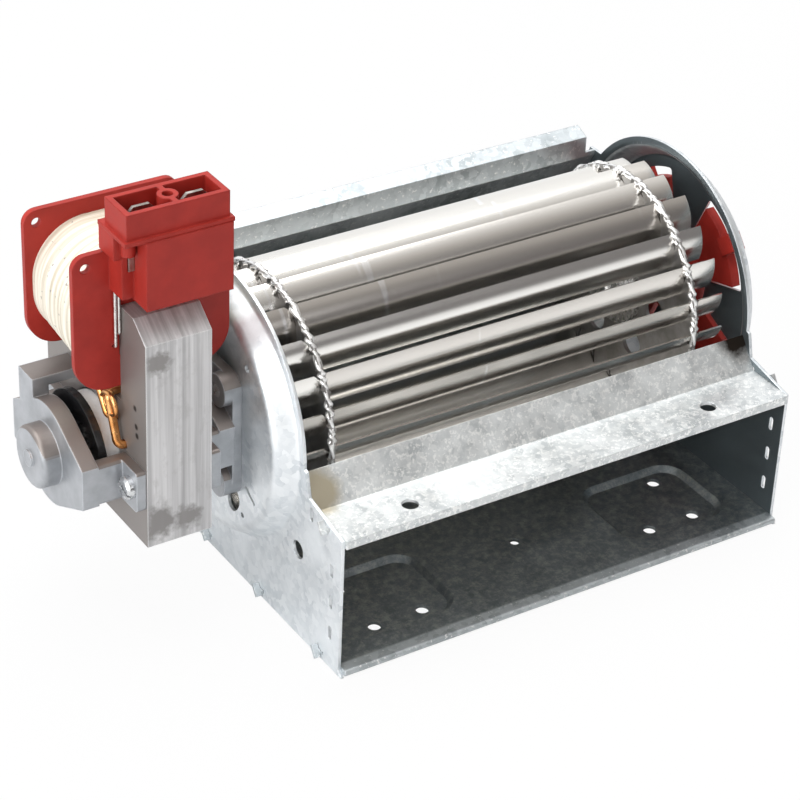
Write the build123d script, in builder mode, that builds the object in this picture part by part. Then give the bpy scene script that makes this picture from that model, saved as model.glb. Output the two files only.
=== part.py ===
from build123d import *
from math import cos, radians, sin
import os

# Cross flow fan: a sheet steel scroll casing, an aluminium blade wheel and a shaded pole motor.
# Millimetres. X runs along the wheel from the motor to the far bearing, -Y is the way the air leaves,
# Z is up. The origin is the middle of the four outer mounting holes, on the face the fan is bolted to.

os.makedirs("parts", exist_ok=True)

# Casing
sheet = 0.8  # galvanised sheet of all four casing pieces
casing_width = 123.4  # between the inner faces of the two side plates
axis_height = 45.0  # wheel axis above the mounting face
axis_back = 32.5  # wheel axis behind the middle of the mounting holes
mouth_reach = 51.3  # wheel axis to the front edge of the side plates
mouth_top = 8.0  # upper edge of the mouth below the wheel axis
pad_depth = 1.4  # the pressed pads below the floor
foot_back = 14.4  # rear bottom corner of a side plate behind the wheel axis
neck = [(37.0, -5.4), (35.5, 0.5)]  # where a side plate narrows from mouth to head, ahead and up
floor_lip = 2.2  # floor ahead of the side plates
hem = 5.0  # folded front edge of the floor
scroll_shift = 1.0  # the scroll's lower arc is centred this far behind the axis
scroll_radius = 37.0
back_radius = 46.0  # flatter arc above it
back_angle = 33.0
back_rise = 5.5  # straight wall above the arcs
flange = 4.4  # turned top edge of the scroll
flange_tilt = 22.0
flange_short = 3.0  # the turned edge stops this far from the far plate
plate_margin = 1.4  # side plate beyond the outside of the scroll
head_radius = 34.6  # round head of a side plate

# Dish pressed outwards in each side plate, round the end of the wheel
dish_radius = 32.4
dish_floor = 29.4
dish_depth = 5.0
dish_bend = 1.8
shaft_opening = 11.5
oval_hole = (12.3, 18.8, 2.4, 3.4)  # in the motor's dish: ahead of the axis, below it, half widths
dish_circle = 26.3  # small openings near the rim of the motor's dish
dish_slot = (144.0, 19.0, 2.0)  # curved one: start, sweep and width
dish_slit = (214.0, 5.0, 1.0)  # straight one: turn, length and width
dish_holes = [(132.7, 0.9), (231.6, 0.7)]  # turn and radius

# Mounting holes and the two pressed pads round them
hole_radius = 1.6
outer_pitch = 92.2  # between outer holes, along the wheel
inner_pitch = 66.0
row_pitch = 16.0  # front row to rear holes
pad_width = 30.0
pad_length = 25.0
pad_corner = 6.0
tongue_hole_radius = 2.0
tongue_hole_pitch = 83.7
tongue_hole_back = 4.8  # behind the front edge of the side plates
floor_hole = (2.3, 1.2)  # small one: behind the middle and radius

# Tabs that hold the two long sheets in the side plates
tab_width = 3.2
tab_out = 1.5  # tab beyond the plate, twisted so that it can't slip back
tab_twist = 55.0
front_tab = 8.3  # behind the front edge of the side plates
middle_tab = 16.3  # ahead of the wheel axis
rear_tab = (7.5, 0.7)  # behind the start of the scroll's arc and above the floor
tongue_tab = 6.9
slot_length = 3.6
slot_width = 1.3
slot_inset = 3.9
slot_count = 3
first_slot = 10.5  # below the tongue
slot_pitch = 8.5
neck_slot = (12.9, 0.9)
spare_hole = (32.9, 21.7, 2.3)  # ahead of the axis, below it, radius
fit = 0.1  # clearance round whatever passes through sheet

# Tongue, the upper edge of the mouth
tongue_drop = 2.2  # turned-down front edge
tongue_fold = 39.0  # ahead of the wheel axis
tongue_edge = (33.4, -0.8)  # ahead of the axis and above it
tongue_hem = 3.0

# Wheel
wheel_radius = 30.0
wheel_length = 119.3
wheel_gap = 0.3  # motor end of the blades behind the motor side plate
blade_count = 22
blade_sheet = 0.5
blade_inner = 23.6
blade_sweep = 8.6  # degrees from a blade's outer edge back to its inner edge
blade_curve = 8.2
blade_notch = 1.4  # corner of a blade cut away beyond each disc
disc_sheet = 1.0
disc_inset = 8.9  # blades beyond the middle of each disc
rim = 0.7  # closed edge of a disc outside the blades
crimps = 2  # crimped teeth for each blade
crimp_size = (2.2, 1.1, 1.0)  # along the rim, across it, thick
crimp_tilt = 35.0
crimp_shift = 1.0  # degrees, clear of the blades' outer edges
disc_vents = 6
vent_radius = 3.5
vent_circle = 15.0

# Shaft, hubs and bearings
shaft_radius = 3.0
running = 0.03
hub_radius = 6.5
hub_length = 10.0
collar = 9.5
collar_thick = 1.6
bush_radius = 5.2
bush_length = 7.0
washer_radius = 5.0
washer_thick = 0.8
bush_crown = 1.0
grub_radius = 1.5
grub_place = 2.4  # from the outer end of the hub
grub_sunk = 0.4  # below the hub's surface
grub_socket = 1.5
shaft_past = 1.0  # shaft beyond a hub or a bearing
shaft_edge = 0.5

# Motor
stack = 16.0
stack_gap = 12.2  # stack to dish
stack_half = 24.0
leg = 11.7
stack_bottom = 15.2
stack_top = 40.5
window_floor = 16.8
yoke = 12.0
leg_chamfer = (5.5, 4.2)  # back and down
rotor_radius = 11.4
air_gap = 0.4
cage_bore = 4.5
cage_length = 3.8
cooling_thick = 1.8
cooling_radius = 13.0
shading_wire = 1.0
stack_screw = (20.6, 0.2)  # from the axis to each side and down
screw_radius = 1.5
head_height = 1.8
head_size = 2.7

# Bearing brackets, die cast
bar_thick = 4.0
bar_radius = 12.4
bar_half = 17.2
bar_end = 10.0
bar_drop = 0.4  # ends of the bar below the axis
post = 3.7
third_arm = (10.1, 14.0)  # outer bracket only: behind the axis and above it
third_size = (6.8, 2.4)
outer_depth = 12.2  # bar's outer face from the stack
pad_thick = 2.4
pad_inset = 0.2  # feet short of the stack's sides
boss_radius = 7.4
boss_out = 4.4
boss_round = 1.2
inner_boss_past = 1.2  # inner bracket's boss into the dish opening
boss_wall = 2.0  # its flange round the boss
bracket_bore = 3.5  # clear of the shaft
nose_radius = 2.0
nose_out = 0.5
ear_radius = 4.0
ear_circle = 17.0
ear_count = 4
ear_turn = 45.0
flange_thick = 2.5
seat = 0.02  # bearing in its seat
end_play = 0.4
retainer_thick = 0.5
retainer_radius = 7.4

# Far bearing carrier
arm_count = 4
arm_turn = 50.0
arm_angle = 51.0
carrier_reach = 23.6  # ends of the arms
window_reach = 26.0  # ends of the windows in the far dish that the arms sit in
carrier_play = 0.8  # round the hub and beside the arms
carrier_thick = 2.4
carrier_hub = 11.0
carrier_hub_length = 8.0
clip_width = 4.6
clip_reach = 1.4
clip_thick = 1.4
rubber_radius = 8.4

# Coil and its bobbin
cheek = 1.5
cheek_half = 18.8
cheek_bottom = 20.6
cheek_top = 54.5
cheek_round = 8.0
cheek_corner = 3.2
cheek_hole = (15.8, 3.0, 1.15)  # from the coil's middle, below the top, radius
tube_wall = 1.0
coil_half = 17.2
coil_bottom = 22.0
coil_top = 50.8
coil_round = 13.0
tape = 0.7
lead_radius = 0.35

# Terminal housing, moulded with the bobbin, and the shroud over it
box_bottom = 44.7
box_top = 61.0
box_start = 0.6  # along X from the stack's outer face
box_length = 20.6
step_start = -2.2
step_front = 18.2
step_bottom = 45.3
step_post = 1.6
post_length = 4.5
head_start = -4.0
head_drop = 5.7
head_back = 11.4
shroud_length = 24.2
shroud_depth = 9.8
shroud_rise = 7.0
shroud_shift = (2.2, 1.0)  # its middle from the box's middle and its edge from the stack's front
shroud_wall = 1.3
deck = 1.0
ledge = 0.8
screw_boss = 2.3
screw_pilot = 1.2
tab_size = 6.3
tab_thick = 0.8
tab_rise = 6.0  # above the box
tab_sunk = 9.0  # into it
tab_pitch = 12.6

half = casing_width / 2
dish_face = half + dish_depth + sheet  # outer face of either dish
stack_inner = -dish_face - stack_gap
stack_outer = stack_inner - stack
stack_mid = (stack_inner + stack_outer) / 2
pad_reach = stack_half - pad_inset
shroud_top = box_top + shroud_rise
wheel_axis = Axis((0, axis_back, axis_height), (1, 0, 0))
floor_drop = axis_height - pad_depth - sheet  # floor of the mouth below the wheel axis
floor_line = -floor_drop - sheet / 2  # middle of the floor's sheet, from the axis


def station(x):
    """Plane across the axis at x. Its x runs back from the axis and its y runs up."""
    return Plane(origin=(x, axis_back, axis_height), x_dir=(0, 1, 0), z_dir=(1, 0, 0))


def radial(x, way):
    """Plane through the axis at x. Its x runs up from the axis and its y runs along it, way +1 or -1."""
    return Plane(origin=(x, axis_back, axis_height), x_dir=(0, 0, 1), z_dir=(0, way, 0))


def level(z):
    """Flat plane at z above the axis, its origin on the axis."""
    return Plane(origin=(0, axis_back, axis_height + z))


def save(piece, label):
    """Name a finished piece and write it."""
    piece.part.label = label
    export_step(piece.part, f"parts/{label}.step")


# ---- Casing: profiles that more than one sheet follows -------------------------------------

floor_front = -mouth_reach - floor_lip
with BuildLine() as scroll_wall:  # from the lip back under the wheel and up behind it
    floor_run = Line((floor_front + sheet, -floor_drop), (scroll_shift, -floor_drop))
    lower_arc = JernArc(floor_run @ 1, floor_run % 1, scroll_radius, 90)
    upper_arc = JernArc(lower_arc @ 1, lower_arc % 1, back_radius, back_angle)
    wall_top = PolarLine(upper_arc @ 1, back_rise, 90)
with BuildLine() as scroll_line:  # and the turned edge at its top
    add(scroll_wall.line)
    PolarLine(wall_top @ 1, flange, flange_tilt)

scroll_tabs = [(-mouth_reach + front_tab, floor_line), (-middle_tab, floor_line),
               (scroll_shift + rear_tab[0], floor_line + rear_tab[1])]
tongue_tabs = [(-mouth_reach + tongue_tab, -mouth_top - sheet / 2)]
# Empty punched slots in the side plates, from the axis: back, up.
punched_slots = [(-mouth_reach + slot_inset, -mouth_top - first_slot - number * slot_pitch)
                 for number in range(slot_count)]
punched_slots.append((-mouth_reach + neck_slot[0], -mouth_top - neck_slot[1]))


def tabs(places, way, clearance=0.0, out=0.0, twist=0.0):
    """Sections of the tabs at a side plate, out from its inner face."""
    with BuildSketch(station(way * (half + out))) as section:
        with Locations(*places):
            Rectangle(tab_width + 2 * clearance, sheet + 2 * clearance, rotation=twist)
    return section.sketch


def side_plate(way):
    """Side plate with its round head, pressed dish and slots. way is -1 at the motor, 1 at the far end."""
    face = way * half
    with BuildPart() as plate:
        with BuildSketch(station(face)):
            with BuildLine():
                Polyline(
                    (-mouth_reach, -axis_height),
                    (-mouth_reach, -mouth_top - sheet / 2),
                    *[(-ahead, up) for ahead, up in neck],
                    (0, dish_floor / 2),
                    (foot_back, -axis_height),
                    close=True,
                )
            make_face()
            with BuildLine():
                behind = offset(scroll_wall.line, sheet + plate_margin, side=Side.RIGHT, closed=False)
                Polyline(behind @ 1, (0, dish_floor / 2), behind @ 0)
            make_face()
            Circle(head_radius, mode=Mode.SUBTRACT)
        extrude(amount=way * sheet)
        with BuildSketch(radial(face, way)):
            with BuildLine():
                FilletPolyline(
                    (head_radius, 0), (dish_radius, 0), (dish_floor, dish_depth), (shaft_opening, dish_depth),
                    radius=dish_bend,
                )
                offset(amount=sheet, side=Side.RIGHT)
            make_face()
        revolve(axis=wheel_axis)
        with BuildSketch(station(face)):
            with Locations(*punched_slots):
                SlotOverall(slot_length, slot_width, rotation=90)
            with Locations((-spare_hole[0], -spare_hole[1])):
                Circle(spare_hole[2])
        extrude(amount=way * sheet, mode=Mode.SUBTRACT)
        extrude(tabs(scroll_tabs + tongue_tabs, way, clearance=fit), amount=way * sheet, mode=Mode.SUBTRACT)
    return plate


with BuildPart() as motor_side_plate:
    add(side_plate(-1).part)
    with BuildSketch(station(-dish_face)):
        with PolarLocations(ear_circle, ear_count, ear_turn):
            Circle(screw_radius + fit)
        with Locations((-oval_hole[0], -oval_hole[1])):
            Ellipse(oval_hole[2], oval_hole[3], rotation=30)
        SlotArc(CenterArc((0, 0), dish_circle, dish_slot[0], dish_slot[1]), dish_slot[2])
        with PolarLocations(dish_circle - dish_slit[1] / 2, 1, dish_slit[0]):
            Rectangle(dish_slit[1], dish_slit[2])
        for turn, radius in dish_holes:
            with PolarLocations(dish_circle, 1, turn):
                Circle(radius)
    extrude(amount=2 * sheet, mode=Mode.SUBTRACT)
save(motor_side_plate, "motor_side_plate")


def carrier_outline(reach, play=0.0):
    """Four arms round a hub: the far bearing's carrier and, with play, the windows that it sits in."""
    gap = 180 / arm_count - arm_angle / 2
    corner = (2 * reach * cos(radians(gap)), 2 * reach * sin(radians(gap)))
    with BuildSketch() as arms:
        Circle(reach - play)
        with PolarLocations(0, arm_count, arm_turn + 180 / arm_count):
            Polygon((0, 0), (corner[0], -corner[1]), corner, align=None, mode=Mode.SUBTRACT)
        Circle(carrier_hub)
        if play:
            offset(amount=play)
    return arms.sketch


with BuildPart() as far_side_plate:
    add(side_plate(1).part)
    with BuildSketch(station(dish_face)):
        add(carrier_outline(window_reach, carrier_play))
    extrude(amount=-2 * sheet, mode=Mode.SUBTRACT)
save(far_side_plate, "far_side_plate")

with BuildPart() as scroll_sheet:
    with BuildSketch(station(-half)):
        with BuildLine():
            add(scroll_line.line)
            offset(amount=sheet, side=Side.RIGHT)
        make_face()
        with Locations((floor_front + sheet, -floor_drop - sheet)):
            Circle(sheet)
            Rectangle(hem, 2 * sheet, align=(Align.MIN, Align.CENTER))
    extrude(amount=casing_width)
    floor_top = pad_depth + sheet
    pad_places = [(side * (outer_pitch + inner_pitch) / 4, 0) for side in (-1, 1)]
    for top, mode in ((floor_top - sheet, Mode.ADD), (floor_top, Mode.SUBTRACT)):
        with BuildSketch(Plane.XY.offset(top)):
            with Locations(*pad_places):
                RectangleRounded(pad_width, pad_length, pad_corner)
        extrude(amount=-pad_depth, taper=45, mode=mode)
    with BuildSketch(Plane.XY.offset(floor_top)):
        with GridLocations(outer_pitch, row_pitch, 2, 2):
            Circle(hole_radius)
        with Locations((0, -row_pitch / 2)):
            with GridLocations(inner_pitch, 0, 2, 1):
                Circle(hole_radius)
        with Locations((0, floor_hole[0])):
            Circle(floor_hole[1])
    extrude(amount=-2 * floor_top, mode=Mode.SUBTRACT)
    with BuildSketch(station(half)):
        with Locations(wall_top @ 1):
            Rectangle(2 * flange, 2 * flange, align=(Align.MIN, Align.CENTER))
    extrude(amount=-flange_short, mode=Mode.SUBTRACT)
    for way in (-1, 1):
        extrude(tabs(scroll_tabs, way), amount=way * (sheet + fit))
        extrude(tabs(scroll_tabs, way, out=sheet + fit, twist=tab_twist), amount=way * tab_out)
save(scroll_sheet, "scroll_sheet")

with BuildPart() as tongue_sheet:
    with BuildSketch(station(-half)):
        with BuildLine():
            Polyline(
                (-mouth_reach - sheet, -mouth_top - tongue_drop),
                (-mouth_reach - sheet, -mouth_top),
                (-tongue_fold, -mouth_top),
                (-tongue_edge[0], tongue_edge[1]),
            )
            offset(amount=sheet, side=Side.RIGHT)
        make_face()
        with BuildLine():
            rise = Line((-tongue_fold, -mouth_top), (-tongue_edge[0], tongue_edge[1]), mode=Mode.PRIVATE)
            PolarLine(rise @ 1, tongue_hem, direction=-(rise % 1))
            offset(amount=-2 * sheet, side=Side.LEFT)
        make_face()
    extrude(amount=casing_width)
    with BuildSketch(level(-mouth_top)):
        with Locations((0, -mouth_reach + tongue_hole_back)):
            with GridLocations(tongue_hole_pitch, 0, 2, 1):
                Circle(tongue_hole_radius)
    extrude(amount=-2 * sheet, mode=Mode.SUBTRACT)
    for way in (-1, 1):
        extrude(tabs(tongue_tabs, way), amount=way * (sheet + fit))
        extrude(tabs(tongue_tabs, way, out=sheet + fit, twist=tab_twist), amount=way * tab_out)
save(tongue_sheet, "tongue_sheet")

# ---- Wheel: sheet blades pushed through two crimped discs ----------------------------------

wheel_start = -half + wheel_gap
disc_places = [wheel_start + disc_inset, wheel_start + wheel_length - disc_inset]

with BuildSketch() as blade_section:
    with BuildLine():
        RadiusArc(
            (wheel_radius, 0),
            (blade_inner * cos(radians(blade_sweep)), blade_inner * sin(radians(blade_sweep))),
            -blade_curve,
        )
        offset(amount=blade_sheet, side=Side.RIGHT)
    make_face()

with BuildSketch() as blade_slot:
    offset(blade_section.sketch, fit / 2)

with BuildPart() as blades:
    with BuildSketch(station(wheel_start)):
        with PolarLocations(0, blade_count):
            add(blade_section.sketch)
    extrude(amount=wheel_length)
    for place, way in zip(disc_places, (-1, 1)):
        with BuildSketch(radial(place + way * disc_sheet / 2, way)):
            with BuildLine():
                outside = wheel_radius + rim
                inside = wheel_radius - blade_notch
                Polyline((inside, 0), (outside, 0), (outside, outside - inside), close=True)
            make_face()
        revolve(axis=wheel_axis, mode=Mode.SUBTRACT)
save(blades, "blades")


def wheel_disc(middle):
    """Disc with a slot for each blade and crimped teeth round its rim."""
    with BuildPart() as disc:
        with BuildSketch(station(middle - disc_sheet / 2)):
            Circle(wheel_radius + rim)
            Circle(hub_radius, mode=Mode.SUBTRACT)
            with PolarLocations(vent_circle, disc_vents):
                Circle(vent_radius, mode=Mode.SUBTRACT)
            with PolarLocations(0, blade_count):
                add(blade_slot.sketch, mode=Mode.SUBTRACT)
        extrude(amount=disc_sheet)
        tooth_pitch = 360 / (blade_count * crimps)
        with Locations(station(middle)):
            with PolarLocations(
                wheel_radius + rim - crimp_size[1] / 2, blade_count * crimps, tooth_pitch / 2 + crimp_shift):
                Box(crimp_size[1], crimp_size[0], crimp_size[2], rotation=(crimp_tilt, 0, 0))
    return disc


with BuildPart() as motor_end_disc:
    add(wheel_disc(disc_places[0]).part)
save(motor_end_disc, "motor_end_disc")

with BuildPart() as far_end_disc:
    add(wheel_disc(disc_places[1]).part)
save(far_end_disc, "far_end_disc")

# ---- Shafts, hubs and bearings -------------------------------------------------------------


def tube(start, length, outer, inner=0.0):
    """Round bar or tube along the axis, from start towards the far end."""
    with BuildPart() as turned:
        with BuildSketch(station(start)):
            Circle(outer)
            if inner:
                Circle(inner, mode=Mode.SUBTRACT)
        extrude(amount=length)
    return turned.part


inner_depth = stack_gap - flange_thick  # inner bracket's bar from the stack
outer_bush_start = stack_outer - outer_depth + bar_thick - bush_length
inner_bush_start = stack_inner + inner_depth - bar_thick
far_bush_start = dish_face - bush_length / 2
shaft_start = outer_bush_start + seat
hub_places = [place - hub_length / 2 for place in disc_places]

with BuildPart() as rotor_shaft:
    add(tube(shaft_start, hub_places[0] + hub_length + shaft_past - shaft_start, shaft_radius))
    chamfer(rotor_shaft.edges().filter_by(GeomType.CIRCLE), shaft_edge)
save(rotor_shaft, "rotor_shaft")

with BuildPart() as stub_axle:
    stub_length = far_bush_start + bush_length - hub_places[1] + 2 * shaft_past
    add(tube(hub_places[1] - shaft_past, stub_length, shaft_radius))
    chamfer(stub_axle.edges().filter_by(GeomType.CIRCLE), shaft_edge)
save(stub_axle, "stub_axle")


def wheel_hub(start, way):
    """Turned hub: its collar is riveted to the disc, its neck sits in the disc's middle hole."""
    middle = start + hub_length / 2
    with BuildPart() as hub:
        add(tube(start, hub_length, hub_radius - fit / 2, shaft_radius))
        face = middle + way * disc_sheet / 2
        with BuildSketch(station(face)):
            Circle(collar)
            Circle(shaft_radius, mode=Mode.SUBTRACT)
        extrude(amount=way * collar_thick)
    return hub


def grub_plane(up):
    """Flat plane across the grub screw, up above the axis."""
    return Plane(origin=(hub_places[0] + grub_place, axis_back, axis_height + up))


with BuildPart() as motor_end_hub:
    add(wheel_hub(hub_places[0], 1).part)
    with BuildSketch(grub_plane(0)):
        Circle(grub_radius)
    extrude(amount=hub_radius, mode=Mode.SUBTRACT)
save(motor_end_hub, "motor_end_hub")

with BuildPart() as hub_screw:
    with BuildSketch(grub_plane(shaft_radius)):
        Circle(grub_radius)
    extrude(amount=hub_radius - shaft_radius - grub_sunk)
    with BuildSketch(grub_plane(hub_radius - grub_sunk)):
        RegularPolygon(grub_radius / 2, 6)
    extrude(amount=-grub_socket, mode=Mode.SUBTRACT)
save(hub_screw, "hub_screw")

with BuildPart() as far_end_hub:
    add(wheel_hub(hub_places[1], -1).part)
save(far_end_hub, "far_end_hub")


def bush(start):
    """Sintered bearing: a ball outside, so that it can line itself up, and a plain bore."""
    with BuildPart() as bearing:
        with BuildSketch(radial(start + bush_length / 2, 1)):
            with BuildLine():
                edge = bush_radius - bush_crown
                ThreePointArc((edge, -bush_length / 2), (bush_radius, 0), (edge, bush_length / 2))
                Polyline(
                    (edge, bush_length / 2), (shaft_radius + running, bush_length / 2),
                    (shaft_radius + running, -bush_length / 2), (edge, -bush_length / 2),
                )
            make_face()
        revolve(axis=wheel_axis)
    return bearing


for start, label in ((outer_bush_start, "outer_bearing"), (inner_bush_start, "inner_bearing"),
                     (far_bush_start, "far_bearing")):
    with BuildPart() as bearing:
        add(bush(start).part)
    save(bearing, label)

retainer_hole = shaft_radius + 1.0
with BuildPart() as bearing_retainers:
    add(tube(outer_bush_start + bush_length, retainer_thick, retainer_radius, retainer_hole))
    add(tube(inner_bush_start - retainer_thick, retainer_thick, retainer_radius, retainer_hole))
save(bearing_retainers, "bearing_retainers")

washer_hole = shaft_radius + 2 * running
washer_start = outer_bush_start + bush_length + retainer_thick
with BuildPart() as thrust_washers:
    add(tube(washer_start, washer_thick, washer_radius, washer_hole))
    add(tube(inner_bush_start - retainer_thick - washer_thick, washer_thick, washer_radius, washer_hole))
save(thrust_washers, "thrust_washers")

# ---- Motor ---------------------------------------------------------------------------------

with BuildPart() as rotor_core:
    add(tube(stack_outer, stack, rotor_radius, shaft_radius))
save(rotor_core, "rotor_core")

with BuildPart() as rotor_cage:
    add(tube(stack_outer - cage_length, cage_length, rotor_radius, cage_bore))
    add(tube(stack_inner, cage_length, rotor_radius, cage_bore))
save(rotor_cage, "rotor_cage")

with BuildPart() as rotor_cap:
    add(tube(stack_outer - cage_length - cooling_thick, cooling_thick, cooling_radius, shaft_radius))
save(rotor_cap, "rotor_cap")

# Each shading ring passes through the stack and outside it: slot place, outer place.
above = window_floor + shading_wire + fit
below = -stack_bottom - shading_wire - fit
rings = [((-13.6, 6.2), (-9.4, above)), ((-9.6, 11.4), (-5.0, above)),
         ((10.4, -9.6), (9.0, below)), ((6.0, -12.9), (3.6, below))]

with BuildPart() as stator_core:
    with BuildSketch(station(stack_outer)):
        with BuildLine():
            Polyline(
                (0, -stack_bottom),
                (stack_half, -stack_bottom),
                (stack_half, stack_top - leg_chamfer[1]),
                (stack_half - leg_chamfer[0], stack_top),
                (stack_half - leg, stack_top),
                (stack_half - leg, window_floor),
                (0, window_floor),
            )
            mirror(about=Plane.YZ)
        make_face()
        Circle(rotor_radius + air_gap, mode=Mode.SUBTRACT)
        with Locations(*[slot for slot, outside in rings]):
            Circle(shading_wire + fit, mode=Mode.SUBTRACT)
        with Locations((-stack_screw[0], -stack_screw[1]), (stack_screw[0], -stack_screw[1])):
            Circle(screw_radius + fit, mode=Mode.SUBTRACT)
    extrude(amount=stack)
save(stator_core, "stator_core")

with BuildPart() as coil_core:
    with BuildSketch(station(stack_outer)):
        with Locations((0, stack_top)):
            Rectangle(2 * (stack_half - leg), yoke, align=(Align.CENTER, Align.MAX))
    extrude(amount=stack)
save(coil_core, "coil_core")

with BuildPart() as shading_rings:
    bend = 1.6 * shading_wire
    reach = stack / 2 + bend + fit
    for slot, outside in rings:
        start, end = [(stack_mid, axis_back + back, axis_height + up) for back, up in (slot, outside)]
        with BuildLine() as half_loop:
            FilletPolyline(start, (stack_mid + reach, *start[1:]), (stack_mid + reach, *end[1:]), end,
                           radius=bend)
        with BuildSketch(Plane(origin=start, z_dir=(1, 0, 0))):
            Circle(shading_wire)
        sweep(path=half_loop.line)
    mirror(about=Plane.YZ.offset(stack_mid))
save(shading_rings, "shading_rings")

# ---- Bearing brackets: die castings, one each side of the stack ----------------------------


def bracket(face, way, depth, out):
    """Bar across the stack on two posts with feet, and the bearing boss in its middle.

    face is the stack face it stands on, way the direction it stands out, depth how far, and out is
    how far the boss stands out of the bar.
    """
    bar_face = face + way * (depth - bar_thick)
    feet = [(side * (bar_half - post / 2), -bar_drop) for side in (-1, 1)]
    with BuildPart() as casting:
        with BuildSketch(station(bar_face)):
            Circle(bar_radius)
            with Locations(*feet):
                Rectangle(post, bar_end)
            make_hull()
        extrude(amount=way * bar_thick)
        with BuildSketch(station(face)):
            with Locations(*feet):
                RectangleRounded(post, bar_end, post / 4)
        extrude(amount=way * depth)
        pad_middle = (bar_half - post + pad_reach) / 2
        with BuildSketch(station(face)):
            with Locations((-pad_middle, -bar_drop), (pad_middle, -bar_drop)):
                RectangleRounded(pad_reach - bar_half + post, bar_end, post / 4)
        extrude(amount=way * pad_thick)
        with BuildSketch(station(bar_face)):
            Circle(boss_radius)
        extrude(amount=way * (bar_thick + out))
        with BuildSketch(station(bar_face)):
            Circle(bush_radius + seat)
        extrude(amount=way * (bush_length + seat), mode=Mode.SUBTRACT)
        with BuildSketch(station(face)):
            with Locations((-stack_screw[0], -stack_screw[1]), (stack_screw[0], -stack_screw[1])):
                Circle(screw_radius + seat)
        extrude(amount=way * depth, mode=Mode.SUBTRACT)
        with BuildSketch(station(face + way * pad_thick)):
            with Locations((-stack_screw[0], -stack_screw[1]), (stack_screw[0], -stack_screw[1])):
                Circle(head_size + fit)
        extrude(amount=way * depth, mode=Mode.SUBTRACT)
    return casting


with BuildPart() as outer_bracket:
    add(bracket(stack_outer, -1, outer_depth, boss_out).part)
    with BuildSketch(station(stack_outer - outer_depth)):
        with Locations(third_arm):
            Rectangle(*third_size)
        with Locations((third_arm[0], 0)):
            Rectangle(third_size[0], third_size[0])
        make_hull()
        Circle(bush_radius + seat, mode=Mode.SUBTRACT)
    extrude(amount=bar_thick)
    with BuildSketch(station(stack_outer - outer_depth)):
        with Locations(third_arm):
            Rectangle(*third_size)
    extrude(amount=outer_depth)
    boss_face = stack_outer - outer_depth - boss_out
    rims = outer_bracket.edges().filter_by(GeomType.CIRCLE).filter_by(
        lambda edge: abs(edge.center().X - boss_face) < seat)
    fillet(rims, boss_round)
    with BuildSketch(station(boss_face)):
        Circle(nose_radius)
    extrude(amount=-nose_out)
save(outer_bracket, "outer_bracket")

ear_depth = stack_gap - inner_depth + bar_thick / 2
with BuildPart() as inner_bracket:
    add(bracket(stack_inner, 1, inner_depth, stack_gap - inner_depth + inner_boss_past).part)
    with BuildSketch(station(stack_inner + inner_depth)):
        Circle(boss_radius + boss_wall)
        with PolarLocations(ear_circle, ear_count, ear_turn):
            Circle(ear_radius)
        make_hull()
        Circle(bush_radius + seat, mode=Mode.SUBTRACT)
    extrude(amount=flange_thick)
    with BuildSketch(station(-dish_face)):
        with PolarLocations(ear_circle, ear_count, ear_turn):
            Circle(ear_radius)
    extrude(amount=-ear_depth)
    with BuildSketch(station(-dish_face)):
        with PolarLocations(ear_circle, ear_count, ear_turn):
            Circle(screw_radius + seat)
    extrude(amount=-ear_depth, mode=Mode.SUBTRACT)
    add(tube(stack_inner, stack_gap + inner_boss_past, bracket_bore), mode=Mode.SUBTRACT)
save(inner_bracket, "inner_bracket")


def screws(places, start, way, length):
    """Pan head screws whose heads sit at start and whose shanks run along way."""
    with BuildPart() as fasteners:
        with BuildSketch(station(start)):
            with Locations(*places):
                Circle(screw_radius)
        extrude(amount=way * length)
        with BuildSketch(station(start)):
            with Locations(*places):
                Circle(head_size)
        extrude(amount=-way * head_height)
        heads = fasteners.edges().filter_by(
            lambda edge: abs(edge.center().X - start + way * head_height) < seat)
        chamfer(heads, head_height / 3)
        with BuildSketch(station(start - way * head_height)):
            with Locations(*places):
                Rectangle(2 * head_size, head_size / 4, rotation=20)
        extrude(amount=way * head_height / 2, mode=Mode.SUBTRACT)
    return fasteners


stack_screw_places = [(side * stack_screw[0], -stack_screw[1]) for side in (-1, 1)]
with BuildPart() as stack_screws:
    add(screws(stack_screw_places, stack_outer - pad_thick, 1, stack + 2 * pad_thick).part)
save(stack_screws, "stack_screws")

ear_places = [(ear_circle * cos(radians(turn)), ear_circle * sin(radians(turn)))
              for turn in (ear_turn + 360 / ear_count * number for number in range(ear_count))]
with BuildPart() as mount_screws:
    add(screws(ear_places, -dish_face + sheet, -1, sheet + ear_depth).part)
save(mount_screws, "mount_screws")

# ---- Coil, its bobbin and the terminals ----------------------------------------------------


def facing(back):
    """Upright plane at back behind the axis. Its x runs along the wheel from the coil's middle, y up."""
    return Plane(origin=(stack_mid, axis_back + back, axis_height), x_dir=(1, 0, 0), z_dir=(0, -1, 0))


window = stack_half - leg  # half the width between the legs
coil_mid = stack_top - yoke / 2
lead_places = [(-9.4, 31.0), (-8.5, 34.0)]  # where the leads pass the cheek: along, above the axis
tab_middle = (stack_outer + box_start + box_length / 2 - shroud_shift[0],
              -stack_half + shroud_shift[1] + shroud_depth / 2)

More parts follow.
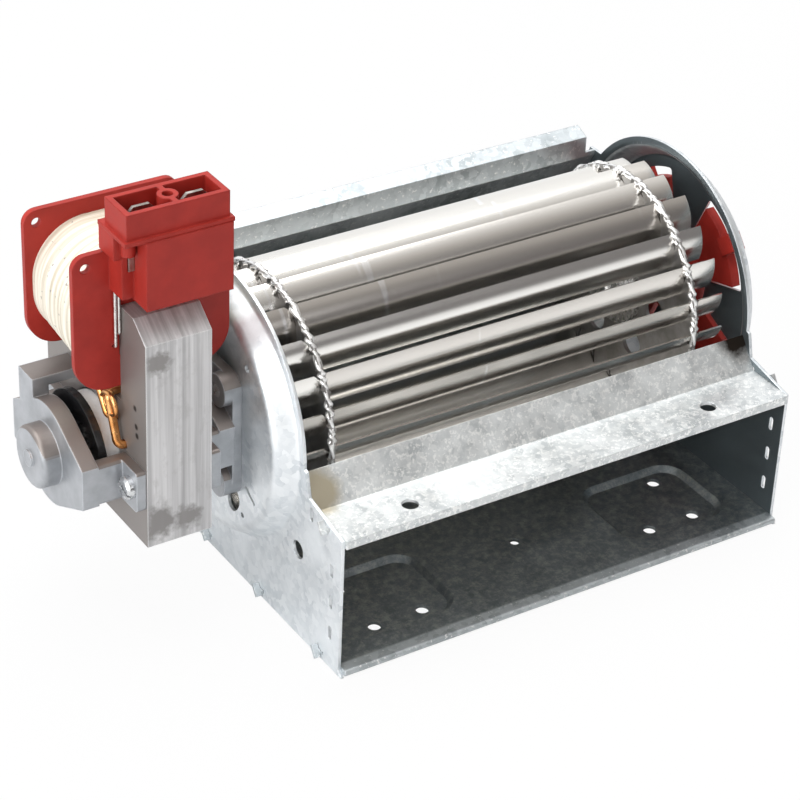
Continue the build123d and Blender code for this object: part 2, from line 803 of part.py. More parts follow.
with BuildPart() as coil_bobbin:
    for side in (-1, 1):
        with BuildSketch(facing(side * window)):
            with Locations((0, (cheek_top + cheek_bottom) / 2)):
                Rectangle(2 * cheek_half, cheek_top - cheek_bottom)
            low = vertices().group_by(Axis.Y)[0]
            high = vertices().group_by(Axis.Y)[-1]
            fillet(low, cheek_round)
            fillet(high, cheek_corner)
            with Locations((0, cheek_top - cheek_hole[1])):
                with GridLocations(2 * cheek_hole[0], 0, 2, 1):
                    Circle(cheek_hole[2], mode=Mode.SUBTRACT)
        extrude(amount=side * cheek)
    with BuildSketch(facing(window - cheek)):
        with Locations((0, coil_mid)):
            Rectangle(stack + 2 * (fit + tube_wall), yoke + 2 * (fit + tube_wall))
    extrude(amount=2 * (window - cheek))
    with BuildSketch(facing(window)):
        with Locations((0, coil_mid)):
            Rectangle(stack + 2 * fit, yoke + 2 * fit)
    extrude(amount=2 * window, mode=Mode.SUBTRACT)
    with BuildSketch(facing(-window)):
        with Locations(*lead_places):
            Circle(lead_radius + fit)
    extrude(amount=-cheek, mode=Mode.SUBTRACT)
    with BuildSketch(level(box_bottom)):
        with Locations((stack_outer + box_start, -stack_half)):
            Rectangle(box_length, stack_half - window, align=Align.MIN)
    extrude(amount=box_top - box_bottom)
    with BuildSketch(level(step_bottom)):
        with Locations((stack_outer + step_start, -step_front)):
            Rectangle(box_start - step_start, step_front - window, align=Align.MIN)
    extrude(amount=box_top - step_bottom)
    with BuildSketch(level(box_top)):
        with Locations((stack_outer + box_start - step_post - fit, -step_front - step_post / 2)):
            Circle(step_post)
    extrude(amount=-post_length)
    with BuildSketch(level(box_top)):
        with Locations((stack_outer + head_start, -head_back)):
            head_length = box_length + box_start - head_start
            Rectangle(head_length, step_front - head_back, align=(Align.MIN, Align.MAX))
    extrude(amount=-head_drop)
    with BuildSketch(level(box_top)):
        with Locations(tab_middle):
            with GridLocations(tab_pitch, 0, 2, 1):
                Rectangle(tab_size + 2 * fit, tab_thick + 2 * fit)
            Circle(screw_pilot)
    extrude(amount=-tab_sunk, mode=Mode.SUBTRACT)
save(coil_bobbin, "coil_bobbin")

coil_face = window - cheek


def coil_section(inset):
    """Section of the wound coil along the stack, this far inside the tape's outer face."""
    with BuildSketch(facing(coil_face)) as section:
        with Locations((0, (coil_top + coil_bottom) / 2)):
            RectangleRounded(
                2 * (coil_half - inset), coil_top - coil_bottom - 2 * inset, coil_round - inset)
    return section.sketch


with BuildPart() as winding:
    extrude(coil_section(tape), amount=2 * coil_face)
    with BuildSketch(facing(coil_face)):
        with Locations((0, coil_mid)):
            Rectangle(stack + 2 * (fit + tube_wall), yoke + 2 * (fit + tube_wall))
    extrude(amount=2 * coil_face, mode=Mode.SUBTRACT)
save(winding, "winding")

with BuildPart() as coil_tape:
    extrude(coil_section(0), amount=2 * coil_face)
    extrude(coil_section(tape), amount=2 * coil_face, mode=Mode.SUBTRACT)
save(coil_tape, "coil_tape")

with BuildPart() as winding_leads:
    for along, up in lead_places:
        start = (stack_mid + along, axis_back - window - 2 * lead_radius - fit, axis_height + step_bottom)
        with BuildLine() as lead_line:
            FilletPolyline(
                start,
                (start[0], start[1], axis_height + up),
                (start[0], axis_back - coil_face, axis_height + up),
                radius=2 * lead_radius,
            )
        with BuildSketch(Plane(origin=start, z_dir=(0, 0, -1))):
            Circle(lead_radius)
        sweep(path=lead_line.line)
save(winding_leads, "winding_leads")

with BuildPart() as terminal_shroud:
    with BuildSketch(level(box_top)):
        with Locations(tab_middle):
            Rectangle(shroud_length + 2 * ledge, shroud_depth + 2 * ledge)
        with Locations((tab_middle[0], -head_back)):
            Rectangle(shroud_length + 2 * ledge, shroud_depth, align=(Align.CENTER, Align.MAX))
    extrude(amount=deck)
    with BuildSketch(level(box_top + deck)):
        with Locations(tab_middle):
            Rectangle(shroud_length, shroud_depth)
            Rectangle(shroud_length - 2 * shroud_wall, shroud_depth - 2 * shroud_wall, mode=Mode.SUBTRACT)
            Rectangle(shroud_wall, shroud_depth)
            Circle(screw_boss)
    extrude(amount=shroud_top - box_top - deck)
    with BuildSketch(level(box_top)):
        with Locations(tab_middle):
            Circle(screw_pilot)
            with GridLocations(tab_pitch, 0, 2, 1):
                Rectangle(tab_size + 2 * fit, tab_thick + 2 * fit)
    extrude(amount=shroud_top - box_top, mode=Mode.SUBTRACT)
save(terminal_shroud, "terminal_shroud")

with BuildPart() as tab_terminals:
    for side in (-1, 1):
        middle = (tab_middle[0] + side * tab_pitch / 2, axis_back + tab_middle[1] - tab_thick / 2)
        top = (*middle, axis_height + box_top + tab_rise)
        with BuildSketch(Plane(origin=top, x_dir=(1, 0, 0), z_dir=(0, -1, 0))):
            Rectangle(tab_size, tab_rise + tab_sunk, align=(Align.CENTER, Align.MAX))
            chamfer(vertices().group_by(Axis.Y)[-1], tab_size / 5)
            with Locations((0, -tab_size / 2)):
                Circle(tab_size / 7, mode=Mode.SUBTRACT)
        extrude(amount=-tab_thick)
save(tab_terminals, "tab_terminals")

# ---- Far bearing: a plastic carrier clipped into the dish, with a rubber bush in it ---------

with BuildPart() as bearing_carrier:
    with BuildSketch(station(dish_face - (sheet + carrier_thick) / 2)):
        add(carrier_outline(carrier_reach))
    extrude(amount=carrier_thick)
    for start in (dish_face, dish_face - sheet - clip_thick):
        with BuildSketch(station(start)):
            with PolarLocations((carrier_reach + window_reach) / 2, arm_count, arm_turn):
                Rectangle(2 * clip_reach + window_reach - carrier_reach, clip_width)
        extrude(amount=clip_thick)
    with BuildSketch(station(far_bush_start - end_play)):
        Circle(carrier_hub)
    extrude(amount=carrier_hub_length)
    with BuildSketch(station(far_bush_start - end_play)):
        Circle(rubber_radius + seat)
    extrude(amount=carrier_hub_length, mode=Mode.SUBTRACT)
save(bearing_carrier, "bearing_carrier")

with BuildPart() as rubber_bush:
    add(tube(far_bush_start, bush_length, rubber_radius, bush_radius + seat))
save(rubber_bush, "rubber_bush")
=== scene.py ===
import random
from math import cos, pi, radians, sin

import bmesh
import bpy
from mathutils import Matrix, Vector


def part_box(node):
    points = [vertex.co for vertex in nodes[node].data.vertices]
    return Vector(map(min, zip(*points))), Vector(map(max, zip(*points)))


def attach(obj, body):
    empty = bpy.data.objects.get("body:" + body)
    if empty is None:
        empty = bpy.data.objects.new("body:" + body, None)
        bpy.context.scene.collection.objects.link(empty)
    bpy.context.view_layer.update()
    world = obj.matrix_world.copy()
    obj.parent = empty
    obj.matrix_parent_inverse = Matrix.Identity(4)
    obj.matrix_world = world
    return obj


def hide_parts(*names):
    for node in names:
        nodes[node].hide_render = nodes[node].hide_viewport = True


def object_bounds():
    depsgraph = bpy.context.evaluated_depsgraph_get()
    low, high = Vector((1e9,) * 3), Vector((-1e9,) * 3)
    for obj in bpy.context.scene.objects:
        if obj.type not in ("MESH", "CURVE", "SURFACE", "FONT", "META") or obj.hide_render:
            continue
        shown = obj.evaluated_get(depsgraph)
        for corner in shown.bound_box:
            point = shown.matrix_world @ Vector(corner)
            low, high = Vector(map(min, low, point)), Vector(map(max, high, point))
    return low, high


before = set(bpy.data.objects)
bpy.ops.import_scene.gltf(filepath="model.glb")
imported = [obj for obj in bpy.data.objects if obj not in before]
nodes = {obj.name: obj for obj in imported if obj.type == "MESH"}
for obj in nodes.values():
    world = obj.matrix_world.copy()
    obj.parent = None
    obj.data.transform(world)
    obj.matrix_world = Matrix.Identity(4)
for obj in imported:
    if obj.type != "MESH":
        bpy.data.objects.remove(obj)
cad_box = [list(corner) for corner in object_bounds()]
scene = bpy.context.scene

# ---- Studio ---------------------------------------------------------------------------------
# A white floor that keeps a faint shadow, inside a light tent: bright above, behind and at the
# left, dim in front and below, so that bare metal shows light and dark bands.

scene.view_settings.view_transform = "Standard"


def new_material(name):
    """A node material, its tree and its shader."""
    material = bpy.data.materials.new(name)
    material.use_nodes = True
    tree = material.node_tree
    return material, tree, tree.nodes["Principled BSDF"]


def add_mesh(name, vertices, faces, material=None, smooth=False):
    """A mesh object in the scene."""
    mesh = bpy.data.meshes.new(name)
    mesh.from_pydata([tuple(v) for v in vertices], [], faces)
    mesh.update()
    thing = bpy.data.objects.new(name, mesh)
    scene.collection.objects.link(thing)
    if material:
        mesh.materials.append(material)
    if smooth:
        mesh.polygons.foreach_set("use_smooth", [True] * len(mesh.polygons))
    return thing


def add(tree, kind, **values):
    """A node with its settings and its unlinked inputs."""
    node = tree.nodes.new("ShaderNode" + kind)
    for key, value in values.items():
        if hasattr(node, key):
            setattr(node, key, value)
        else:
            node.inputs[key.replace("_", " ")].default_value = value
    return node


def link(tree, source, output, target, socket):
    """Joins an output to an input."""
    tree.links.new(source.outputs[output], target.inputs[socket])


def ramp(tree, source, output, stops):
    """A colour ramp fed by an output. Each stop is a place and a grey or a colour."""
    node = tree.nodes.new("ShaderNodeValToRGB")
    elements = node.color_ramp.elements
    while len(elements) < len(stops):
        elements.new(0.5)
    for element, (place, colour) in zip(elements, stops):
        element.position = place
        element.color = (colour,) * 3 + (1,) if isinstance(colour, float) else (*colour, 1)
    link(tree, source, output, node, "Fac")
    return node


def mottle(tree, scale, detail=4.0, roughness=0.6, stretch=(1, 1, 1)):
    """Noise in the object's own space."""
    place = add(tree, "TexCoord")
    fit = add(tree, "Mapping", Scale=stretch)
    noise = add(tree, "TexNoise", Scale=scale, Detail=detail, Roughness=roughness)
    link(tree, place, "Object", fit, "Vector")
    link(tree, fit, "Vector", noise, "Vector")
    return noise


floor_size = 6.0
floor_white = 0.94  # share of plain white that the camera sees in the floor
material, tree, shader = new_material("floor")
grain = mottle(tree, 3.0)
link(tree, ramp(tree, grain, "Fac", [(0.3, 0.58), (0.7, 0.62)]), "Color", shader, "Base Color")
shader.inputs["Roughness"].default_value = 0.9
path = add(tree, "LightPath")
share = add(tree, "Math", operation="MULTIPLY")
share.inputs[1].default_value = floor_white
link(tree, path, "Is Camera Ray", share, 0)
glow = add(tree, "Emission", Strength=1.0)
mix = add(tree, "MixShader")
link(tree, share, "Value", mix, "Fac")
link(tree, shader, "BSDF", mix, 1)
link(tree, glow, "Emission", mix, 2)
link(tree, mix, "Shader", tree.nodes["Material Output"], "Surface")
corners = [(x * floor_size, y * floor_size, cad_box[0][2]) for x, y in ((-1, -1), (1, -1), (1, 1), (-1, 1))]
floor = add_mesh("floor", corners, [(0, 1, 2, 3)], material)

world = bpy.data.worlds.new("studio")
scene.world = world
world.use_nodes = True
tree = world.node_tree
tree.nodes.clear()
output = add(tree, "OutputWorld")
path = add(tree, "LightPath")
white = add(tree, "Background", Color=(1, 1, 1, 1), Strength=1.0)
place = add(tree, "TexCoord")
towards_front = add(tree, "VectorMath", operation="DOT_PRODUCT")
towards_front.inputs[1].default_value = Vector((0.45, -0.85, -0.3)).normalized()
link(tree, place, "Generated", towards_front, 0)
half_range = add(tree, "MapRange", From_Min=-1.0, From_Max=1.0)
link(tree, towards_front, "Value", half_range, "Value")
tent = ramp(tree, half_range, "Result", [
    (0.0, (0.90, 0.92, 0.95)),
    (0.40, (0.95, 0.95, 0.95)),
    (0.55, (0.72, 0.70, 0.68)),
    (0.70, (0.46, 0.44, 0.42)),
    (0.88, (0.16, 0.15, 0.15)),
])
around = add(tree, "Background", Strength=1.0)
link(tree, tent, "Color", around, "Color")
mix = add(tree, "MixShader")
link(tree, path, "Is Camera Ray", mix, "Fac")
link(tree, around, "Background", mix, 1)
link(tree, white, "Background", mix, 2)
link(tree, mix, "Shader", output, "Surface")


def lamp(name, place, aim, size, power):
    """A rectangular soft light at place that points at aim."""
    light = bpy.data.lights.new(name, "AREA")
    light.shape = "RECTANGLE"
    light.size, light.size_y = size
    light.energy = power
    thing = bpy.data.objects.new(name, light)
    scene.collection.objects.link(thing)
    thing.location = place
    thing.rotation_euler = (Vector(aim) - Vector(place)).to_track_quat("-Z", "Y").to_euler()


middle = (Vector(cad_box[0]) + Vector(cad_box[1])) / 2
lamp("top", (-0.1, 0.15, 1.1), middle, size=(1.2, 0.8), power=12)
lamp("left", (-1.2, -0.45, 0.55), middle, size=(0.8, 0.9), power=10)
lamp("front", (0.2, -1.3, 0.7), middle, size=(0.7, 0.4), power=1.5)

# ---- Camera ---------------------------------------------------------------------------------
# It looks from the motor's end, from in front and above, so that the mouth, the wheel and the motor
# are all seen. It is turned a little on its own axis.

camera_place = (-0.3197, -0.4243, 0.3771)
azimuth, elevation, roll = radians(33.72), radians(32.27), radians(-2.63)
ahead = Vector((sin(azimuth) * cos(elevation), cos(azimuth) * cos(elevation), -sin(elevation)))
level_right = Vector((cos(azimuth), -sin(azimuth), 0))
level_up = level_right.cross(ahead)
right = level_right * cos(roll) - level_up * sin(roll)
up = level_right * sin(roll) + level_up * cos(roll)
camera_data = bpy.data.cameras.new("camera")
camera_data.lens = 121.6
camera_data.clip_end = 50
camera = bpy.data.objects.new("camera", camera_data)
facing = Matrix((right, up, -ahead)).transposed().to_4x4()
camera.matrix_world = Matrix.Translation(camera_place) @ facing
scene.collection.objects.link(camera)
scene.camera = camera

# ---- Galvanised casing ----------------------------------------------------------------------
# Four pieces of 0.8 mm hot dipped steel, pressed and folded, held to one another by twisted tabs. The
# zinc has a fine spangle under a pale bloom. On the tongue it is whitish and scuffed, with a brown
# worn patch at the motor's end and a dark burnt stain at the far end.


def bump(tree, source, output, shader, height, strength=0.5):
    """Relief of that height in metres under the shader."""
    node = add(tree, "Bump", Strength=strength, Distance=height)
    link(tree, source, output, node, "Height")
    link(tree, node, "Normal", shader, "Normal")
    return node


def round_edges(tree, relief, radius):
    """Shades the piece as if its sharp edges had this radius."""
    rounded = add(tree, "Bevel", samples=4, Radius=radius)
    link(tree, rounded, "Normal", relief, "Normal")


def over(tree, mask, below, above, output="Color"):
    """The colour above laid over the colour below by a mask. Either colour is a node or a plain one."""
    node = add(tree, "Mix", data_type="RGBA")
    link(tree, mask, output, node, "Factor")
    for socket, colour in ((6, below), (7, above)):
        if isinstance(colour, tuple):
            node.inputs[socket].default_value = (*colour, 1)
        else:
            link(tree, colour, "Color" if "Color" in colour.outputs else 2, node, socket)
    return node


def near(tree, point, reach, ragged=0.6):
    """A mask that is white at a point and fades, with a ragged edge, within reach of it."""
    place = add(tree, "TexCoord")
    apart = add(tree, "VectorMath", operation="DISTANCE")
    apart.inputs[1].default_value = point
    link(tree, place, "Object", apart, 0)
    ragging = mottle(tree, 2.0 / reach, detail=6.0)
    spread = add(tree, "Math", operation="MULTIPLY_ADD")
    spread.inputs[1].default_value = ragged * reach
    link(tree, ragging, "Fac", spread, 0)
    link(tree, apart, "Value", spread, 2)
    inner, outer = reach * (0.5 + ragged / 2), reach * (1 + ragged / 2)
    shrunk = add(tree, "MapRange", From_Min=inner, From_Max=outer, To_Min=1.0, To_Max=0.0)
    link(tree, spread, "Value", shrunk, "Value")
    return shrunk


def galvanised(name, dark, light, speckle=0.0, rough=(0.34, 0.52)):
    """Spangled zinc on steel, with a share of white specks."""
    material, tree, shader = new_material(name)
    place = add(tree, "TexCoord")
    warp = mottle(tree, 400.0)
    shift = add(tree, "VectorMath", operation="MULTIPLY_ADD")
    shift.inputs[1].default_value = (0.002, 0.002, 0.002)
    link(tree, warp, "Color", shift, 0)
    link(tree, place, "Object", shift, 2)
    flakes = add(tree, "TexVoronoi", Scale=620.0)
    link(tree, shift, "Vector", flakes, "Vector")
    spangle = ramp(tree, flakes, "Color", [(0.2, dark), (0.8, light)])
    bloom = mottle(tree, 70.0, detail=8.0, roughness=0.7)
    colour = over(tree, ramp(tree, bloom, "Fac", [(0.42, 0.0), (0.6, 0.8)]), spangle, light)
    if speckle:
        specks = mottle(tree, 900.0, detail=3.0, roughness=0.8)
        edge = 0.66 - 0.12 * speckle
        white = ramp(tree, specks, "Fac", [(edge, 0.0), (edge + 0.04, 0.9)])
        colour = over(tree, white, colour, (0.88, 0.89, 0.88))
    roughness = ramp(tree, bloom, "Fac", [(0.4, rough[0]), (0.65, rough[1])])
    link(tree, roughness, "Color", shader, "Roughness")
    shader.inputs["Metallic"].default_value = 0.85
    relief = bump(tree, bloom, "Fac", shader, 0.0002, 0.3)
    round_edges(tree, relief, 0.0003)
    return material, tree, shader, colour


def dress(material, *names):
    """Puts one material on CAD pieces."""
    for name in names:
        mesh = nodes[name].data
        mesh.materials.clear()
        mesh.materials.append(material)


# Painted shade darkens the dish round a spot behind the motor.
material, tree, shader, colour = galvanised(
    "galvanised_motor_plate", (0.66, 0.70, 0.73), (0.84, 0.87, 0.89))
dish_shade_reach, dish_shade_rise = 0.021, 0.010
hub_low, hub_high = [Vector(corner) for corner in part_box("inner_bracket")]
behind_motor = Vector((hub_high.x, (hub_low.y + hub_high.y) / 2, (hub_low.z + hub_high.z) / 2 + dish_shade_rise))
dish_painted_shade = over(tree, near(tree, behind_motor, dish_shade_reach, 0.25), colour, (0.20, 0.235, 0.25), "Result")
link(tree, dish_painted_shade, 2, shader, "Base Color")
dress(material, "motor_side_plate")


def faces_along(tree, axis, way, full=0.93):
    """A mask of the faces that look along an axis, way 1 or -1, or lean towards it by at least full."""
    split = add(tree, "SeparateXYZ")
    link(tree, add(tree, "NewGeometry"), "True Normal", split, "Vector")
    turned = add(tree, "Math", operation="MULTIPLY")
    turned.inputs[1].default_value = way
    link(tree, split, axis, turned, 0)
    return ramp(tree, turned, "Value", [(full - 0.08, 0.0), (full, 1.0)])


# The far plate's faces that look along −X, its inner face in the channel, are painted dark as painted shade.
material, tree, shader, colour = galvanised(
    "galvanised_far_plate", (0.56, 0.60, 0.63), (0.78, 0.81, 0.83))
painted_shade = over(tree, faces_along(tree, "X", -1.0), colour, (0.17, 0.20, 0.215))
link(tree, painted_shade, 2, shader, "Base Color")
dress(material, "far_side_plate")


def between(tree, axis, low, high, fade, strength=1.0):
    """A mask that has this strength between two places along an axis and fades outside them."""
    place = add(tree, "TexCoord")
    split = add(tree, "SeparateXYZ")
    link(tree, place, "Object", split, "Vector")
    spread = add(tree, "MapRange", From_Min=low - fade, From_Max=high + fade)
    link(tree, split, axis, spread, "Value")
    edge = fade / (high - low + 2 * fade)
    return ramp(tree, spread, "Result", [(0.0, 0.0), (edge, strength), (1 - edge, strength), (1.0, 0.0)])


def times(tree, first, second, factor=1.0):
    """Two colours multiplied, with this much of the second one's effect."""
    node = add(tree, "Mix", data_type="RGBA", blend_type="MULTIPLY")
    node.inputs["Factor"].default_value = factor
    for socket, colour in ((6, first), (7, second)):
        link(tree, colour, "Color" if "Color" in colour.outputs else 2, node, socket)
    return node


# Painted shade, with a mottled grain, darkens the floor and the lower wall inside the channel. The rear wall
# and the front lip are left without it.
lip = 0.0036
tab = 0.0018  # beyond the side plates
shade_top, shade_fade, shade_strength = 0.018, 0.012, 0.75
material, tree, shader, colour = galvanised(
    "galvanised_scroll", (0.40, 0.44, 0.46), (0.60, 0.64, 0.66), speckle=0.5)
scroll_low, scroll_high = [Vector(corner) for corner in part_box("scroll_sheet")]
along_channel = between(tree, "X", scroll_low.x + tab, scroll_high.x - tab, 0.0002)
behind_lip = between(tree, "Y", scroll_low.y + lip, scroll_high.y, 0.0006)
low_down = between(tree, "Z", scroll_low.z - shade_top, shade_top, shade_fade, shade_strength)
channel_shade = times(tree, times(tree, along_channel, behind_lip), low_down)
shade_grain = mottle(tree, 420.0, detail=7.0, roughness=0.8)
shade_colour = ramp(tree, shade_grain, "Fac", [
    (0.40, (0.085, 0.10, 0.11)), (0.50, (0.14, 0.16, 0.165)), (0.62, (0.30, 0.31, 0.30))])
painted_shade = over(tree, channel_shade, colour, shade_colour, 2)
link(tree, painted_shade, 2, shader, "Base Color")
dress(material, "scroll_sheet")

mark_inset = 0.004  # of both marks from the tongue's ends
wear_reach, burn_reach = 0.007, 0.008
tongue_low, tongue_high = [Vector(corner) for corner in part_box("tongue_sheet")]
burn = tongue_high - Vector((mark_inset, 0, 0))
wear = Vector((tongue_low.x + mark_inset, tongue_high.y - mark_inset, tongue_high.z - mark_inset))
material, tree, shader, colour = galvanised(
    "galvanised_tongue", (0.52, 0.55, 0.56), (0.72, 0.74, 0.74), speckle=1.0, rough=(0.38, 0.6))
colour = over(tree, near(tree, wear, wear_reach), colour, (0.50, 0.45, 0.34), "Result")
colour = over(tree, near(tree, burn, burn_reach), colour, (0.022, 0.016, 0.012), "Result")
link(tree, colour, 2, shader, "Base Color")
dress(material, "tongue_sheet")


def wrapped(rows, sides, closed=False):
    """Faces of a skin over rows of points, with this many points round each row."""
    faces = []
    for row in range(rows if closed else rows - 1):
        this, after = row * sides, (row + 1) % rows * sides
        for side in range(sides):
            beside = (side + 1) % sides
            faces.append((this + side, this + beside, after + beside, after + side))
    return faces


def trim(name, outline, across, ends, *trimmed):
    """Cuts a prism off CAD pieces. Its outline lies across x or y and it runs between the two ends."""
    points = [(end, a, b) if across == "x" else (a, end, b) for end in ends for a, b in outline]
    count = len(outline)
    ends_of_prism = [tuple(range(count))[::-1], tuple(range(count, 2 * count))]
    cutter = add_mesh(name, points, ends_of_prism + wrapped(2, count))
    mesh = bmesh.new()
    mesh.from_mesh(cutter.data)
    bmesh.ops.recalc_face_normals(mesh, faces=mesh.faces)
    mesh.to_mesh(cutter.data)
    mesh.free()
    cutter.hide_render = True
    cutter.hide_viewport = True
    for node in trimmed:
        cut = nodes[node].modifiers.new("trim", "BOOLEAN")
        cut.operation = "DIFFERENCE"
        cut.solver = "EXACT"
        cut.object = cutter


# Behind its round head a side plate slopes down to the wall's top, with no corner left standing.
head_radius = 0.0346
corner_from, corner_to = radians(36), radians(46)  # where the wall's top meets it, from level
plate_steps = 4
plate_high = Vector(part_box("far_side_plate")[1])
axle_low, axle_high = [Vector(corner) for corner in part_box("stub_axle")]
axle = (axle_low + axle_high) / 2
outline = []
for step in range(plate_steps + 1):
    angle = corner_from + (corner_to - corner_from) * step / plate_steps
    outline.append((axle.y + head_radius * cos(angle), axle.z + head_radius * sin(angle)))
past_back, past_top, past_end = plate_high.y + 0.001, axle.z + 0.8 * head_radius, 1.1 * plate_high.x
outline += [(outline[-1][0], past_top), (past_back, past_top), (past_back, outline[0][1])]
trim("plate_corners", outline, "x", (-past_end, past_end), "motor_side_plate", "far_side_plate")

# ---- Wheel ----------------------------------------------------------------------------------
# Thin rolled aluminium blades, each a little duller or brighter than its neighbours and ticked by
# handling, pushed through two discs of the same metal. Each is an arc of sheet from the rim inwards,
# notched in its outer corner beside each disc.


def finish_of(name, dark, light, scale, metal=0.0, rough=(0.4, 0.5), relief=0.00005,
              stretch=(1, 1, 1), edge=0.0):
    """A mottled material with two tones, two roughnesses and slight relief, and with edges rounded."""
    material, tree, shader = new_material(name)
    grain = mottle(tree, scale, stretch=stretch)
    tone = ramp(tree, grain, "Fac", [(0.35, dark), (0.65, light)])
    link(tree, tone, "Color", shader, "Base Color")
    roughness = ramp(tree, grain, "Fac", [(0.35, rough[0]), (0.65, rough[1])])
    link(tree, roughness, "Color", shader, "Roughness")
    shader.inputs["Metallic"].default_value = metal
    bumped = bump(tree, grain, "Fac", shader, relief)
    if edge:
        round_edges(tree, bumped, edge)
    return material, tree, shader, tone


bright, tree, shader, tone = finish_of(
    "bright_aluminium", (0.86, 0.84, 0.81), (0.96, 0.95, 0.93), 60.0, metal=1.0, rough=(0.26, 0.2),
    relief=0.000002, stretch=(0.08, 1, 1))
piece = add(tree, "NewGeometry")
each = ramp(tree, piece, "Random Per Island", [(0.0, (0.62, 0.58, 0.54)), (0.5, (1.0, 1.0, 0.98))])
per_blade = times(tree, tone, each, 0.7)
ticks = mottle(tree, 260.0, detail=1.0, stretch=(1, 0.06, 0.06))
marked = over(tree, ramp(tree, ticks, "Fac", [(0.70, 0.0), (0.74, 0.7)]), per_blade, (0.97, 0.97, 0.97))
link(tree, marked, 2, shader, "Base Color")

blade_count = 22
blade_sheet = 0.0005
blade_slant = radians(16.5)  # of its outer edge, from the rim's tangent
blade_curve = 0.009
blade_length = 0.0092  # round the curve
blade_turn = radians(-2.3)  # its outer edge from the first place round the wheel
blade_ragged = 0.0010  # how much shorter an end can be
turn_ragged = 0.6  # degrees that a blade can be out of its place
notch = 0.0014
disc_sheet = 0.001
curve_steps = 8

wheel_low, wheel_high = [Vector(corner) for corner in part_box("blades")]
wheel_axis = (wheel_low + wheel_high) / 2
wheel_radius = (wheel_high.z - wheel_low.z) / 2
disc_middles = []
for disc in ("motor_end_disc", "far_end_disc"):
    low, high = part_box(disc)
    disc_middles.append((low[0] + high[0]) / 2)


def blade_rows(ragged):
    """Places along a blade and how much of its outer edge is cut away at each."""
    first, last = wheel_low.x + ragged, wheel_high.x - ragged
    near_disc, far_disc = disc_middles[0] - disc_sheet / 2, disc_middles[1] + disc_sheet / 2
    return [(first, 0.0), (near_disc - notch, 0.0), (near_disc, 1.0), (near_disc, 0.0),
            (far_disc, 0.0), (far_disc, 1.0), (far_disc + notch, 0.0), (last, 0.0)]


def blade(turn, ragged):
    """Points and faces of one curved blade. Its section runs in along one face and out along the other."""
    rows = blade_rows(ragged)
    across = 2 * (curve_steps + 1)
    points = []
    for x, cut in rows:
        start = cut * notch
        for face in (0, 1):
            for step in range(curve_steps + 1):
                length = start + (blade_length - start) * step / curve_steps
                if face:
                    length = blade_length - (blade_length - start) * step / curve_steps
                heading = blade_slant + length / blade_curve
                inward = blade_curve * (cos(blade_slant) - cos(heading))
                inward += face * blade_sheet * cos(heading)
                sideways = blade_curve * (sin(heading) - sin(blade_slant))
                sideways -= face * blade_sheet * sin(heading)
                out = wheel_radius - inward
                points.append((x, wheel_axis.y + out * cos(turn) - sideways * sin(turn),
                               wheel_axis.z + out * sin(turn) + sideways * cos(turn)))
    ends = [tuple(range(across))[::-1], tuple(range((len(rows) - 1) * across, len(rows) * across))]
    return points, ends + wrapped(len(rows), across)


chance = random.Random(7)
points, faces = [], []
for number in range(blade_count):
    turn = blade_turn + 2 * pi * number / blade_count + radians(chance.uniform(-turn_ragged, turn_ragged))
    more_points, more_faces = blade(turn, chance.uniform(0.0, blade_ragged))
    faces += [tuple(index + len(points) for index in face) for face in more_faces]
    points += more_points
blades = add_mesh("wheel_blades", points, faces, bright)
for polygon in blades.data.polygons:
    polygon.use_smooth = len(polygon.vertices) == 4
blades.data.set_sharp_from_angle(angle=radians(30))
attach(blades, "wheel")
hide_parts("blades")

# The discs are painted dark grey aluminium, as painted shade between the blades.
disc_shade = finish_of("disc_aluminium_painted_shade", (0.20, 0.19, 0.18), (0.32, 0.31, 0.30), 200.0,
                 metal=0.9, rough=(0.4, 0.5))[0]
dress(disc_shade, "motor_end_disc", "far_end_disc")

# ---- Crimped rims ---------------------------------------------------------------------------
# Outside the blades each disc's rim is wrung by the crimping tool into a twisted strip, white on
# its edges and grey in its creases, which locks every blade in its slot. No two crimps are alike.

rim_turns = 38  # half as many as the crimps
rim_wide = 0.0011
rim_thin = 0.0006
rim_steps = 12  # round each turn
rim_sides = 8


def crimped_rim(name, disc, material):
    """A strip twisted round the edge of a disc."""
    low, high = [Vector(corner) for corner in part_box(disc)]
    centre = (low + high) / 2
    radius = (high.z - low.z) / 2 - rim_wide / 2
    count = rim_turns * rim_steps
    points = []
    for step in range(count):
        around = 2 * pi * step / count
        twist = rim_turns * around + 0.8 * sin(17 * around) + 0.6 * sin(29 * around + 1)
        for side in range(rim_sides):
            angle = 2 * pi * side / rim_sides
            wide = rim_wide * (0.9 + 0.2 * sin(23 * around)) * cos(angle)
            thin = rim_thin * sin(angle)
            out = radius + wide * cos(twist) - thin * sin(twist)
            along = wide * sin(twist) + thin * cos(twist)
            points.append((centre.x + along, centre.y + out * cos(around), centre.z + out * sin(around)))
    strip = add_mesh(name, points, wrapped(count, rim_sides, closed=True), material, smooth=True)
    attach(strip, "wheel")


wrung = finish_of("wrung_aluminium", (0.80, 0.79, 0.78), (0.97, 0.97, 0.96), 500.0,
                  metal=0.75, rough=(0.25, 0.4))[0]
crimped_rim("motor_end_rim", "motor_end_disc", wrung)
crimped_rim("far_end_rim", "far_end_disc", wrung)

# ---- Shafts, hubs and bearings --------------------------------------------------------------
# The shafts, hubs, washers and the grub screw are turned and ground steel. The bearings are sintered
# bronze balls, held in their seats by pressed retainers, and are darker.

turned = finish_of("turned_steel", (0.48, 0.48, 0.48), (0.66, 0.66, 0.67), 900.0,
                   metal=1.0, rough=(0.22, 0.34), edge=0.0002)[0]
dress(turned, "rotor_shaft", "stub_axle", "motor_end_hub", "far_end_hub", "hub_screw", "thrust_washers")
sintered = finish_of("sintered_bronze", (0.20, 0.15, 0.10), (0.34, 0.27, 0.19), 1500.0,
                     metal=0.8, rough=(0.4, 0.6))[0]
dress(sintered, "outer_bearing", "inner_bearing", "far_bearing", "bearing_retainers")
